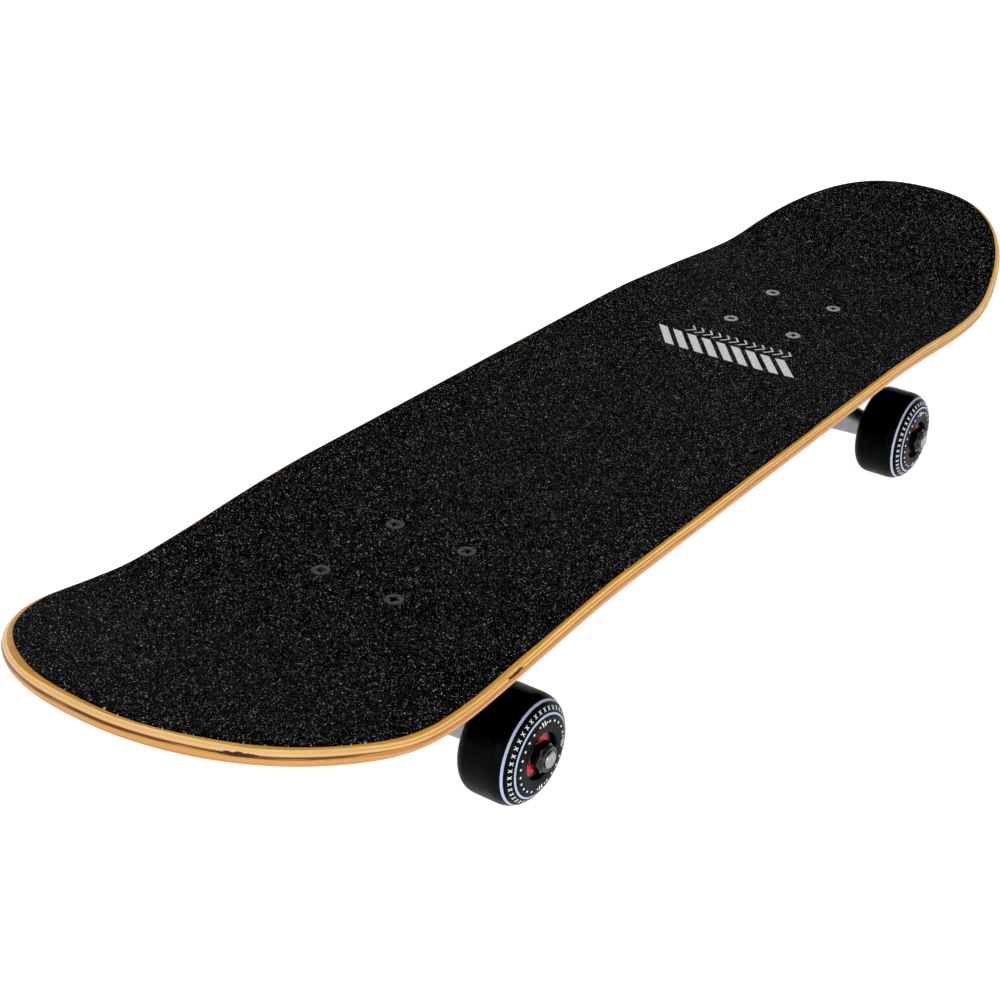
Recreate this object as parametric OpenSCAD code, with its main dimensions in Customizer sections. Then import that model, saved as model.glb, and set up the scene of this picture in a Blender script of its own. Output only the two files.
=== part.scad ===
// Complete double-kick skateboard with two kingpin trucks and four wheels on ball bearings.
// Frame: X along the board with +X to the nose, Y across, +Z up.
// The origin is on the ground, under the middle of the board's length.

/* [Deck] */
// Width of the deck
deck_w = 190; // [186:1:200]
// Thickness of the pressed maple
deck_t = 8.4; // [8.2:0.1:9.4]
// Thickness of the grip tape
grip_t = 0.6; // [0.4:0.1:0.8]
// Distance between the centres of the two bolt patterns
truck_spacing = 382; // [376:1:390]
// Distance along the surface from the middle of the trucks to the tail's tip
tail_reach = 388; // [380:1:396]
// Distance along the surface from the middle of the trucks to the nose's tip
nose_reach = 400; // [392:1:408]
// Rise of the edges above the centre line, between the trucks
concave = 7; // [3:0.5:9]
// Upward angle of the tail and of the nose
kick_angle = 16.2; // [12:0.1:20]

/* [Trucks] */
// Height of the axle's centre below the deck
axle_drop = 52.4; // [52:0.1:54]
// Distance of the axle outboard of the bolt pattern's centre
axle_out = 11.5; // [10:0.5:13]
// Overall length of the axle
axle_l = 192; // [190:1:196]
// Width of the hanger between its two end faces
hanger_w = 126.4; // [125.6:0.1:126.4]
// Lean of the kingpin from upright
kingpin_lean = 28; // [26:1:29]

/* [Wheels] */
// Diameter of the wheel
wheel_d = 53; // [51:1:54]
// Width of the wheel
wheel_w = 30; // [29:1:32]
// Corner radius on the outer side of the tread
wheel_round_out = 11; // [9:0.5:11]
// Corner radius on the inner side of the tread
wheel_round_in = 8; // [6:0.5:11]

/* [Hidden] */
truck_names = ["front", "rear"];
truck_parts = [
    "baseplate", "pivot_cup", "mount_bolts", "mount_nuts", "kingpin", "kingpin_nut",
    "cup_washer_upper", "cup_washer_lower", "bushing_upper", "bushing_lower",
    "hanger", "axle", "speed_rings", "axle_nuts"
];
side_names = ["left", "right"];
wheel_parts = [
    "wheel", "bearing_outer", "bearing_inner", "bearing_balls", "bearing_shields", "bearing_spacer"
];

round_fn = 64;
hull_fn = 32;
fit_gap = 0.03;
over = 1;

// Deck outline: a superellipse closes each end, a straight side joins them
cap_steps = 22;
side_steps = 30;
rim_half = 2 * cap_steps + side_steps;
rim_count = 2 * rim_half;
tail_cap_start = 277;
nose_cap_start = 210;
tail_roundness = 2.2;
nose_roundness = 2.5;
edge_r = 4;

// Deck bend: each kick turns up on its own radius
tail_kick_start = 255;
nose_kick_start = 275;
tail_kick_r = 198;
nose_kick_r = 112;

// Concave: flat in the middle, full depth between the trucks, gone at the kicks
flat_half = 16;
concave_power = 2.1;
fade_start = 140;
fade_l = 136;

// Shares of the half width at which the top and bottom surfaces have a ring of points
ring_shares = [0.16, 0.4, 0.6, 0.8, 1];
edge_turns = [60, 30, 0];

// Heights
wheel_r = wheel_d / 2;
deck_under_z = wheel_r + axle_drop;
deck_top_z = deck_under_z + deck_t;

// Mounting bolts: 10-32 flat heads in the standard truck pattern
bolt_pitch_x = 53.98;
bolt_pitch_y = 41.28;
bolt_r = 2.41;
bolt_l = 25.4;
bolt_head_r = 4.8;
bolt_head_rim = 0.3;
bolt_head_proud = 0.2;
bolt_clear = 0.08;
nut_af = 9.53;
nut_h = 5.8;

// Truck, in its own frame: +X outboard, Z up, origin at the bolt pattern on the deck's underside
plate_t = 5.5;
plate_x0 = -36;
plate_x1 = 38;
plate_half_w = 27.5;
plate_corner = 8;
pivot_x = 26;
pivot_drop = 11.5;
ring_x = -17;
ring_drop = 29.5;
steer_angle = atan2(ring_drop - pivot_drop, pivot_x - ring_x);
pivot_pin_r = 5.5;
pivot_run_gap = 0.06;
cup_r = 8.5;
cup_floor = 6.4;
cup_mouth = 7;
housing_r = 12;

// Kingpin stack, measured along the kingpin from the middle of the hanger's ring
ring_half_t = 4.5;
ring_r = 15.5;
ring_hole_r = 7.5;
seat_r = 12.3;
seat_depth = 1;
bushing_r = 12;
bushing_hole_r = 5;
bushing_upper_l = 15;
bushing_lower_l = 10.5;
washer_t = 1.5;
washer_upper_r = 13;
washer_lower_r = 10.5;
kingpin_r = 4.76;
kingpin_nut_af = 14.3;
kingpin_nut_h = 7.5;
kingpin_end = 24.5;
boss_wall = 4;
boss_r = 13.5;
kingpin_head_r = 7;
kingpin_head_h = 4;
seat_level = ring_half_t - seat_depth;
boss_level = seat_level + bushing_upper_l + washer_t;
head_level = boss_level + boss_wall;

// Hanger
axle_r = 3.97;
axle_z = -axle_drop;
bar_r = 9;
arm_end_r = 7.2;
arm_root_y = 18;
arm_tip_y = 57;
arm_rise = 12;
arm_rise_r = 6;

// Axle stack, from the hanger's end face outwards
speed_ring_t = 0.8;
speed_ring_r = 5.9;
bearing_w = 7;
bearing_gap = 10;
axle_nut_af = 12.7;
axle_nut_h = 6.2;
axle_nut_hex_h = 4.6;
bearing_y0 = hanger_w / 2 + speed_ring_t;
wheel_y = bearing_y0 + bearing_w + bearing_gap / 2;
stack_end = wheel_y + bearing_gap / 2 + bearing_w;

// Bearing: 8 by 22 by 7, seven balls
bore_r = 4;
race_outer_r = 11;
race_inner_land = 6.1;
race_outer_land = 9;
ball_r = 1.98;
ball_pitch_r = 7.5;
groove_r = 2.02;
ball_count = 7;
shield_t = 0.4;
shield_face = bearing_w / 2 - 0.5;
shield_r0 = 6.3;
shield_r1 = 9.6;
wheel_mouth = 0.8;
wheel_shoulder_r = 9.4;

// Deck surface, as functions of the distance s along it and the distance y across it

function limit(v, low, high) = min(max(v, low), high);
function kick_start(s) = s < 0 ? tail_kick_start : nose_kick_start;
function kick_r(s) = s < 0 ? tail_kick_r : nose_kick_r;
function turn(s) = limit((abs(s) - kick_start(s)) / kick_r(s) * 180 / PI, 0, kick_angle);
function past_bend(s) = max(abs(s) - kick_start(s) - kick_r(s) * kick_angle * PI / 180, 0);
function line_x(s) = sign(s) * (min(abs(s), kick_start(s)) + kick_r(s) * sin(turn(s))
    + past_bend(s) * cos(turn(s)));
function line_z(s) = kick_r(s) * (1 - cos(turn(s))) + past_bend(s) * sin(turn(s));
function smooth(u) = u * u * (3 - 2 * u);
function edge_rise(s) = concave * (1 - smooth(limit((abs(s) - fade_start) / fade_l, 0, 1)));
function rise(s, y) = edge_rise(s)
    * pow(max(abs(y) - flat_half, 0) / (deck_w / 2 - flat_half), concave_power);

// Middle of the board, between its two tips, seen from the trucks' middle
shift_x = -(line_x(nose_reach) + line_x(-tail_reach)) / 2;

// Point at surface place s, y and height n above the wood's top face
function board_point(s, y, n) = let (h = rise(s, y) + n) [
    shift_x + line_x(s) - sign(s) * sin(turn(s)) * h,
    y,
    deck_top_z + line_z(s) + cos(turn(s)) * h
];

function cap(u, start, reach, power) = [
    start + (reach - start) * pow(sin(u), 2 / power),
    deck_w / 2 * pow(cos(u), 2 / power)
];

// Half of the outline, from the tail's tip along +Y to the nose's tip
half_rim = concat(
    [for (i = [cap_steps:-1:0])
        let (c = cap(90 * i / cap_steps, tail_cap_start, tail_reach, tail_roundness))
            [-c.x, i == cap_steps ? 0 : c.y]],
    [for (i = [1:side_steps - 1])
        [-tail_cap_start + (tail_cap_start + nose_cap_start) * i / side_steps, deck_w / 2]],
    [for (i = [0:cap_steps])
        let (c = cap(90 * i / cap_steps, nose_cap_start, nose_reach, nose_roundness))
            [c.x, i == cap_steps ? 0 : c.y]]
);
rim = concat(half_rim, [for (i = [rim_half - 1:-1:1]) [half_rim[i].x, -half_rim[i].y]]);
rim_out = [for (i = [0:rim_count - 1])
    let (d = rim[(i + 1) % rim_count] - rim[(i + rim_count - 1) % rim_count]) [-d.y, d.x] / norm(d)];
spine_tail = tail_reach - deck_w / 2;
spine_nose = nose_reach - deck_w / 2;

// One closed ring of points: the outline moved in by inset and drawn towards the spine by share
function ring(inset, share, n) = [for (i = [0:rim_count - 1]) let (
        p = rim[i] - inset * rim_out[i],
        spine = limit(p.x, -spine_tail, spine_nose)
    ) board_point(spine + (p.x - spine) * share, p.y * share, n)];

// Closed solid through a list of rings that runs from the top's middle over the edge to the bottom's.
// Both halves split their quads the same way seen from above, so two solids meet without a gap.
module ring_solid(rings) {
    m = rim_count;
    k = rim_half;
    last = (len(rings) - 1) * m;
    sides = [for (j = [0:len(rings) - 2], i = [0:m - 1]) let (a = j * m, b = a + m, i1 = (i + 1) % m)
        each j < len(rings) / 2
            ? [[a + i, b + i, b + i1], [a + i, b + i1, a + i1]]
            : [[a + i, b + i, a + i1], [b + i, b + i1, a + i1]]];
    caps = concat([[0, 1, m - 1], [k - 1, k, k + 1]],
        [for (i = [1:k - 2]) each [[i, i + 1, m - i - 1], [i, m - i - 1, m - i]]]);
    floors = [for (f = caps) [last + f[2], last + f[1], last + f[0]]];
    polyhedron(points = [for (r = rings) each r], faces = concat(sides, caps, floors), convexity = 6);
}

module at_bolts() {
    for (x = [-1, 1], y = [-1, 1])
        translate([x * bolt_pitch_x / 2, y * bolt_pitch_y / 2, 0])
            children();
}

// Places children at the front truck, or turned round at the rear one
module at_truck(front) {
    translate([shift_x + (front ? 1 : -1) * truck_spacing / 2, 0, deck_under_z])
        rotate([0, 0, front ? 0 : 180])
            children();
}

// +Z up along the kingpin, origin in the middle of the hanger's ring
module along_kingpin() {
    translate([ring_x, 0, -ring_drop])
        rotate([0, kingpin_lean, 0])
            children();
}

// +Z up and outboard along the steering axis, origin at the round end of the pivot pin
module along_pivot() {
    translate([pivot_x, 0, -pivot_drop])
        rotate([0, 90 - steer_angle, 0])
            children();
}

// Disc from z0 to z1 on the Z axis
module disc(r, z0, z1) {
    translate([0, 0, z0])
        cylinder(r = r, h = z1 - z0, $fn = round_fn);
}

module washer(r, hole, z0, z1) {
    difference() {
        disc(r, z0, z1);
        disc(hole, z0 - over, z1 + over);
    }
}

module hex(af, h) {
    cylinder(d = af / cos(30), h = h, $fn = 6);
}

// Deck and grip tape

module deck_blank() {
    ring_solid(concat(
        [for (f = ring_shares) ring(edge_r, f, 0)],
        [for (a = edge_turns) ring(edge_r * (1 - cos(a)), 1, edge_r * (sin(a) - 1))],
        [for (i = [len(edge_turns) - 1:-1:0]) ring(edge_r * (1 - cos(edge_turns[i])), 1,
            -deck_t + edge_r * (1 - sin(edge_turns[i])))],
        [for (i = [len(ring_shares) - 1:-1:0]) ring(edge_r, ring_shares[i], -deck_t)]
    ));
}

module countersink() {
    depth = bolt_head_r - bolt_r;
    top = grip_t + bolt_head_proud - bolt_head_rim;
    translate([0, 0, deck_t + top - depth])
        cylinder(r1 = bolt_r + bolt_clear, r2 = bolt_head_r + bolt_clear, h = depth, $fn = round_fn);
}

module deck() {
    color("burlywood")
        difference() {
            deck_blank();
            for (front = [true, false])
                at_truck(front)
                    at_bolts() {
                        disc(bolt_r + bolt_clear, -over, deck_t + over);
                        countersink();
                    }
        }
}

module grip_tape() {
    color("#1c1c1e")
        difference() {
            ring_solid(concat(
                [for (f = ring_shares) ring(edge_r, f, grip_t)],
                [for (i = [len(ring_shares) - 1:-1:0]) ring(edge_r, ring_shares[i], 0)]
            ));
            for (front = [true, false])
                at_truck(front)
                    at_bolts()
                        disc(bolt_head_r + bolt_clear, deck_t - over, deck_t + grip_t + over);
        }
}

// Fixed parts of a truck

module rounded_plate() {
    inner_x0 = plate_x0 + plate_corner;
    inner_x1 = plate_x1 - plate_corner;
    inner_y = plate_half_w - plate_corner;
    translate([inner_x0, -plate_half_w, -plate_t])
        cube([inner_x1 - inner_x0, 2 * plate_half_w, plate_t]);
    translate([plate_x0, -inner_y, -plate_t])
        cube([plate_x1 - plate_x0, 2 * inner_y, plate_t]);
    for (x = [inner_x0, inner_x1], y = [-inner_y, inner_y])
        translate([x, y, 0])
            disc(plate_corner, -plate_t, 0);
}

module baseplate() {
    web_x0 = -8;
    web_x1 = 8;
    web_half_w = 5;
    web_h = 9;
    housing_l = 9;
    color("#8d9196")
        difference() {
            union() {
                rounded_plate();
                intersection() {
                    union() {
                        along_pivot() disc(housing_r, -cup_mouth + over, housing_l);
                        along_kingpin() disc(boss_r, boss_level, 2 * ring_drop);
                    }
                    translate([-60, -60, -60])
                        cube([120, 120, 60]);
                }
                translate([web_x0, -web_half_w, -web_h])
                    cube([web_x1 - web_x0, 2 * web_half_w, web_h - over]);
            }
            at_bolts() disc(bolt_r + bolt_clear, -plate_t - over, over);
            along_pivot() disc(cup_r, -housing_r, cup_floor);
            along_kingpin() {
                disc(kingpin_r + fit_gap, boss_level - over, head_level + over);
                disc(kingpin_head_r + fit_gap, head_level, 2 * ring_drop);
            }
        }
}

module pivot_cup() {
    socket_r = pivot_pin_r + pivot_run_gap;
    color("#2a2a2c")
        along_pivot()
            difference() {
                disc(cup_r - fit_gap, -cup_mouth, cup_floor - fit_gap);
                disc(socket_r, -cup_mouth - over, 0);
                sphere(r = socket_r, $fn = round_fn);
            }
}

// Two slots crossed in the top of a screw head
module cross_recess() {
    slot_l = 4.6;
    slot_w = 1.1;
    slot_depth = 2;
    for (a = [0, 90])
        rotate([0, 0, a + 45])
            translate([-slot_l / 2, -slot_w / 2, -slot_depth])
                cube([slot_l, slot_w, slot_depth + over]);
}

module mount_bolts() {
    top = deck_t + grip_t + bolt_head_proud;
    depth = bolt_head_r - bolt_r;
    color("#3c3d40")
        at_bolts()
            translate([0, 0, top])
                difference() {
                    union() {
                        disc(bolt_head_r, -bolt_head_rim, 0);
                        translate([0, 0, -bolt_head_rim - depth])
                            cylinder(r1 = bolt_r, r2 = bolt_head_r, h = depth, $fn = round_fn);
                        disc(bolt_r, -bolt_l, -bolt_head_rim - depth);
                    }
                    cross_recess();
                }
}

module mount_nuts() {
    color("#55575b")
        at_bolts()
            difference() {
                translate([0, 0, -plate_t - nut_h])
                    hex(nut_af, nut_h);
                disc(bolt_r + fit_gap, -plate_t - nut_h - over, -plate_t + over);
            }
}

module kingpin() {
    color("#9b9ea3")
        along_kingpin() {
            disc(kingpin_r, -kingpin_end, head_level);
            disc(kingpin_head_r, head_level, head_level + kingpin_head_h);
        }
}

module kingpin_nut() {
    top = -seat_level - bushing_lower_l - washer_t;
    collar_r = 6.4;
    collar_h = 1.4;
    color("#7f8287")
        along_kingpin()
            difference() {
                union() {
                    translate([0, 0, top - kingpin_nut_h + collar_h])
                        hex(kingpin_nut_af, kingpin_nut_h - collar_h);
                    disc(collar_r, top - kingpin_nut_h, top - kingpin_nut_h + collar_h);
                }
                disc(kingpin_r + fit_gap, top - kingpin_nut_h - over, top + over);
            }
}

// Washer with a rim turned towards the bushing that it holds
module cup_washer_upper() {
    rim_depth = 1.5;
    bottom = boss_level - washer_t;
    color("#a4a7ab")
        along_kingpin() {
            washer(washer_upper_r, kingpin_r + fit_gap, bottom, boss_level);
            washer(washer_upper_r, bushing_r + fit_gap, bottom - rim_depth, bottom);
        }
}

module cup_washer_lower() {
    top = -seat_level - bushing_lower_l;
    color("#a4a7ab")
        along_kingpin()
            washer(washer_lower_r, kingpin_r + fit_gap, top - washer_t, top);
}

// Barrel between the base and the hanger's ring
module bushing_upper() {
    bulge = 0.6;
    straight = 1.6;
    bottom = seat_level;
    top = bottom + bushing_upper_l;
    color("#1f1f21")
        along_kingpin()
            rotate_extrude($fn = round_fn)
                polygon(concat(
                    [[bushing_hole_r, top], [bushing_hole_r, bottom]],
                    [for (u = [0:0.125:1])
                        [bushing_r - bulge + bulge * sin(180 * u), bottom + straight
                            + (bushing_upper_l - 2 * straight) * u]],
                    [[bushing_r - bulge, top]]
                ));
}

// Cone between the hanger's ring and the nut's washer
module bushing_lower() {
    small_r = 9.5;
    top = -seat_level;
    color("#1f1f21")
        along_kingpin()
            rotate_extrude($fn = round_fn)
                polygon([
                    [bushing_hole_r, top],
                    [bushing_hole_r, top - bushing_lower_l],
                    [small_r, top - bushing_lower_l],
                    [small_r, top - bushing_lower_l + 1.5],
                    [bushing_r - 0.2, top - 2.5],
                    [bushing_r - 0.2, top]
                ]);
}

// Hanger and axle

module bar(r, y0, y1, x, z, facets) {
    translate([x, y1, z])
        rotate([90, 0, 0])
            cylinder(r = r, h = y1 - y0, $fn = facets);
}

module hanger_yoke() {
    yoke_x0 = 13;
    yoke_l = 3;
    yoke_half_w = 11;
    hull() {
        along_kingpin()
            translate([yoke_x0, -yoke_half_w, -ring_half_t])
                cube([yoke_l, 2 * yoke_half_w, 2 * ring_half_t]);
        bar(bar_r, -arm_root_y - 4, arm_root_y + 4, axle_out, axle_z, hull_fn);
    }
}

module hanger_stem() {
    knee_r = 5.5;
    knee_back = 12.5;
    foot_x = 28;
    foot_r = 7;
    foot_half_w = 10;
    hull() {
        along_pivot()
            translate([0, 0, -knee_back])
                sphere(r = knee_r, $fn = hull_fn);
        along_kingpin()
            translate([foot_x, foot_half_w, -4])
                rotate([90, 0, 0])
                    cylinder(r = foot_r, h = 2 * foot_half_w, $fn = hull_fn);
    }
}

module hanger_arm() {
    slice = 2;
    hull() {
        bar(bar_r, arm_root_y - slice, arm_root_y, axle_out, axle_z, hull_fn);
        bar(arm_rise_r, arm_root_y - slice, arm_root_y, axle_out - 3, axle_z + arm_rise, hull_fn);
        bar(arm_end_r, arm_tip_y, arm_tip_y + slice, axle_out, axle_z, hull_fn);
    }
}

module hanger() {
    color("#b4b7bb")
        difference() {
            union() {
                along_kingpin() disc(ring_r, -ring_half_t, ring_half_t);
                hanger_yoke();
                hanger_stem();
                for (side = [0, 1])
                    mirror([0, side, 0])
                        hanger_arm();
                bar(arm_end_r, -hanger_w / 2, hanger_w / 2, axle_out, axle_z, round_fn);
                along_pivot() {
                    disc(pivot_pin_r, -cup_mouth - 5, 0);
                    sphere(r = pivot_pin_r, $fn = round_fn);
                }
            }
            bar(axle_r + fit_gap, -hanger_w / 2 - over, hanger_w / 2 + over, axle_out, axle_z, round_fn);
            along_kingpin() {
                disc(ring_hole_r, -ring_half_t - over, ring_half_t + over);
                disc(seat_r, seat_level, boss_level - over);
                disc(seat_r, -seat_level - bushing_lower_l, -seat_level);
            }
        }
}

module axle() {
    thread_l = 12;
    tip = 0.6;
    color("#c3c6ca") {
        bar(axle_r, -axle_l / 2 + tip, axle_l / 2 - tip, axle_out, axle_z, round_fn);
        for (side = [-1, 1])
            translate([axle_out, side * (axle_l / 2 - tip), axle_z])
                rotate([-90 * side, 0, 0])
                    cylinder(r1 = axle_r, r2 = axle_r - tip, h = tip, $fn = round_fn);
    }
}

// Places children on the axle, +Z outwards, at both ends of the hanger
module at_axle_ends() {
    for (side = [-1, 1])
        translate([axle_out, 0, axle_z])
            rotate([-90 * side, 0, 0])
                children();
}

module speed_rings() {
    color("#8e9196")
        at_axle_ends() {
            washer(speed_ring_r, axle_r + fit_gap, hanger_w / 2, bearing_y0);
            washer(speed_ring_r, axle_r + fit_gap, stack_end, stack_end + speed_ring_t);
        }
}

module axle_nuts() {
    base = stack_end + speed_ring_t;
    collar_r = 6.1;
    color("#19191b")
        at_axle_ends()
            difference() {
                union() {
                    translate([0, 0, base])
                        hex(axle_nut_af, axle_nut_hex_h);
                    disc(collar_r, base + axle_nut_hex_h, base + axle_nut_h);
                }
                disc(axle_r + fit_gap, base - over, base + axle_nut_h + over);
            }
}

// Wheel and its bearings, on the Z axis with +Z outwards and the origin in the wheel's middle

// Quarter turn of a corner from angle a0 to a1 about [r, z]
function corner(r, z, radius, a0, a1) = [for (i = [0:8]) let (a = a0 + (a1 - a0) * i / 8)
    [r + radius * cos(a), z + radius * sin(a)]];

module wheel() {
    half = wheel_w / 2;
    seat = bearing_gap / 2;
    color("#151517")
        rotate_extrude($fn = 2 * round_fn)
            polygon(concat(
                [[race_outer_r + wheel_mouth, half], [race_outer_r, half - wheel_mouth]],
                [[race_outer_r, seat], [wheel_shoulder_r, seat], [wheel_shoulder_r, -seat]],
                [[race_outer_r, -seat], [race_outer_r, wheel_mouth - half]],
                [[race_outer_r + wheel_mouth, -half]],
                corner(wheel_r - wheel_round_in, wheel_round_in - half, wheel_round_in, -90, 0),
                corner(wheel_r - wheel_round_out, half - wheel_round_out, wheel_round_out, 0, 90)
            ));
}

// Places children at the two bearings, each with its open face turned outwards
module at_bearings() {
    for (side = [0, 1])
        rotate([180 * side, 0, 0])
            translate([0, 0, (bearing_gap + bearing_w) / 2])
                children();
}

module groove() {
    rotate_extrude($fn = round_fn)
        translate([ball_pitch_r, 0])
            circle(r = groove_r, $fn = hull_fn);
}

module bearing_outer() {
    color("#b9bcc0")
        at_bearings()
            difference() {
                washer(race_outer_r - fit_gap, race_outer_land, -bearing_w / 2, bearing_w / 2);
                groove();
                disc(shield_r1, shield_face - shield_t, bearing_w / 2 + over);
            }
}

module bearing_inner() {
    color("#c6c9cd")
        at_bearings()
            difference() {
                washer(race_inner_land, bore_r, -bearing_w / 2, bearing_w / 2);
                groove();
            }
}

module bearing_balls() {
    color("#dfe1e4")
        at_bearings()
            for (i = [0:ball_count - 1])
                rotate([0, 0, 360 * i / ball_count])
                    translate([ball_pitch_r, 0, 0])
                        sphere(r = ball_r, $fn = round_fn);
}

module bearing_shields() {
    color("#a3161b")
        at_bearings()
            washer(shield_r1, shield_r0, shield_face - shield_t, shield_face);
}

module bearing_spacer() {
    spacer_r = 5.4;
    color("#a9acb0")
        washer(spacer_r, bore_r, -bearing_gap / 2, bearing_gap / 2);
}

// Places children at a wheel's middle, +Z outwards
module at_wheel(front, left) {
    at_truck(front)
        translate([axle_out, 0, axle_z])
            rotate([left == front ? -90 : 90, 0, 0])
                translate([0, 0, wheel_y])
                    children();
}

module truck_part(name) {
    if (name == "baseplate") baseplate();
    if (name == "pivot_cup") pivot_cup();
    if (name == "mount_bolts") mount_bolts();
    if (name == "mount_nuts") mount_nuts();
    if (name == "kingpin") kingpin();
    if (name == "kingpin_nut") kingpin_nut();
    if (name == "cup_washer_upper") cup_washer_upper();
    if (name == "cup_washer_lower") cup_washer_lower();
    if (name == "bushing_upper") bushing_upper();
    if (name == "bushing_lower") bushing_lower();
    if (name == "hanger") hanger();
    if (name == "axle") axle();
    if (name == "speed_rings") speed_rings();
    if (name == "axle_nuts") axle_nuts();
}

module wheel_part(name) {
    if (name == "wheel") wheel();
    if (name == "bearing_outer") bearing_outer();
    if (name == "bearing_inner") bearing_inner();
    if (name == "bearing_balls") bearing_balls();
    if (name == "bearing_shields") bearing_shields();
    if (name == "bearing_spacer") bearing_spacer();
}

deck();
grip_tape();
for (truck = truck_names, part = truck_parts)
    at_truck(truck == "front") truck_part(part);
for (truck = truck_names, side = side_names, part = wheel_parts)
    at_wheel(truck == "front", side == "left") wheel_part(part);
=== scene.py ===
"""Looks of the double-kick skateboard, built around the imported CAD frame.

Row frame: metres, +X to the nose, +Y left, +Z up, origin on the ground under the middle.
Shapes are worked out in millimetres and scaled where a mesh is made.
"""

import math

import bmesh
import bpy
import numpy as np
from mathutils import Matrix, Vector, noise
from mathutils.geometry import delaunay_2d_cdt


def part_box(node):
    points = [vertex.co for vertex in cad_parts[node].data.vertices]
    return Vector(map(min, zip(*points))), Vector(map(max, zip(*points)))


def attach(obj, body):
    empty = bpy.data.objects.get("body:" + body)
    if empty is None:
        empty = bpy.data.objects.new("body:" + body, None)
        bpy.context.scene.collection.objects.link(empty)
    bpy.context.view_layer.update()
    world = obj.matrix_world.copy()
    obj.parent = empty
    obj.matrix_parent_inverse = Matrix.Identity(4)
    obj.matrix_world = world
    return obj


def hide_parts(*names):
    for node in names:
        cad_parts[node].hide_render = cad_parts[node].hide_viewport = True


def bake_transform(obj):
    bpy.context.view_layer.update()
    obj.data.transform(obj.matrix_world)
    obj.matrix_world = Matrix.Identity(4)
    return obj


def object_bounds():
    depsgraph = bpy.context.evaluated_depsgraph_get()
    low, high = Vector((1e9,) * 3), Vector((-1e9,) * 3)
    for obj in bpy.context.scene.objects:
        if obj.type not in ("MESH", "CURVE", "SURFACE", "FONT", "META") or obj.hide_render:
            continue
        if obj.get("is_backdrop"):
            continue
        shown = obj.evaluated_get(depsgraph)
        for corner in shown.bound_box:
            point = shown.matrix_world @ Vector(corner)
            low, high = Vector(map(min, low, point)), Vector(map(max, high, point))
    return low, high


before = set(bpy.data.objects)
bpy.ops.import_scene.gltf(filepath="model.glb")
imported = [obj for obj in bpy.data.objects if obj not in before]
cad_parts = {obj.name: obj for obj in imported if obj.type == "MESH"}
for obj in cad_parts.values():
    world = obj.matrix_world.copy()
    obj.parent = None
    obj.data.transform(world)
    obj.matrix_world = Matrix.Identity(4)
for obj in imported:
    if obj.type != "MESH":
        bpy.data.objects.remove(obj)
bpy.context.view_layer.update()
scene = bpy.context.scene
MM = 0.001
TRUCKS = ("front", "rear")
SIDES = ("left", "right")

# ---------------------------------------------------------------- board surface
# The numbers of part.scad, in mm: the board is bent along its length and dished across it
DECK_W = 190.0
DECK_T = 8.4
GRIP_T = 0.6
EDGE_R = 4.0
TRUCK_X = 191.0
DECK_TOP_Z = 87.3
SHIFT_X = -5.8374
TAIL_REACH, NOSE_REACH = 388.0, 400.0
TAIL_CAP, NOSE_CAP = 277.0, 210.0
TAIL_POWER, NOSE_POWER = 2.2, 2.5
KICK_ANGLE = math.radians(16.2)
TAIL_KICK, NOSE_KICK = 255.0, 275.0
TAIL_KICK_R, NOSE_KICK_R = 198.0, 112.0
CONCAVE, CONCAVE_POWER, FLAT_HALF = 7.0, 2.1, 16.0
FADE_START, FADE_L = 140.0, 136.0
# Bolt heads stand this far above the grip tape, and below BOLT_PIT their recess is painted dark as shade
HEAD_PROUD = 0.2
BOLT_PIT = DECK_T + GRIP_T + HEAD_PROUD - 0.12


def board_points(s, y, n):
    """Points in mm at s along the board, y across it and n above the wood's top face."""
    s, y, n = (np.asarray(v, float) for v in np.broadcast_arrays(s, y, n))
    start = np.where(s < 0, TAIL_KICK, NOSE_KICK)
    radius = np.where(s < 0, TAIL_KICK_R, NOSE_KICK_R)
    turn = np.clip((np.abs(s) - start) / radius, 0, KICK_ANGLE)
    past = np.maximum(np.abs(s) - start - radius * KICK_ANGLE, 0)
    along = np.minimum(np.abs(s), start) + radius * np.sin(turn) + past * np.cos(turn)
    up = radius * (1 - np.cos(turn)) + past * np.sin(turn)
    fade = np.clip((np.abs(s) - FADE_START) / FADE_L, 0, 1)
    depth = CONCAVE * (1 - fade * fade * (3 - 2 * fade))
    side = np.maximum(np.abs(y) - FLAT_HALF, 0) / (DECK_W / 2 - FLAT_HALF)
    h = depth * side**CONCAVE_POWER + n
    x = SHIFT_X + np.sign(s) * (along - np.sin(turn) * h)
    return np.stack([x, y, DECK_TOP_Z + up + np.cos(turn) * h], -1)


def outline(step):
    """The deck's rim and its outward normals, as (s, y) rows about step mm apart.

    It starts at the tail's tip and runs along +Y.
    """
    u = np.linspace(0, math.pi / 2, 3000)

    def cap(start, reach, power):
        s = start + (reach - start) * np.sin(u) ** (2 / power)
        return np.stack([s, DECK_W / 2 * np.cos(u) ** (2 / power)], -1)

    tail = cap(TAIL_CAP, TAIL_REACH, TAIL_POWER)[::-1] * [-1, 1]
    half = np.concatenate([tail, cap(NOSE_CAP, NOSE_REACH, NOSE_POWER)])
    loop = np.concatenate([half, half[-2:0:-1] * [1, -1], half[:1]])
    length = np.concatenate([[0], np.cumsum(np.linalg.norm(np.diff(loop, axis=0), axis=1))])
    count = round(length[-1] / step)
    at = np.arange(count) * length[-1] / count
    rim = np.stack([np.interp(at, length, loop[:, k]) for k in (0, 1)], -1)
    d = np.roll(rim, -1, 0) - np.roll(rim, 1, 0)
    out = np.stack([-d[:, 1], d[:, 0]], -1)
    return rim, out / np.linalg.norm(out, axis=1)[:, None]


def wood_level(inset):
    """Height of the wood's rounded top edge, inset mm in from the rim."""
    inside = np.clip(1 - np.asarray(inset, float) / EDGE_R, 0, 1)
    return EDGE_R * (np.sqrt(1 - inside**2) - 1)


# ---------------------------------------------------------------- mesh tools
ON_AXIS = 1e-6


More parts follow.
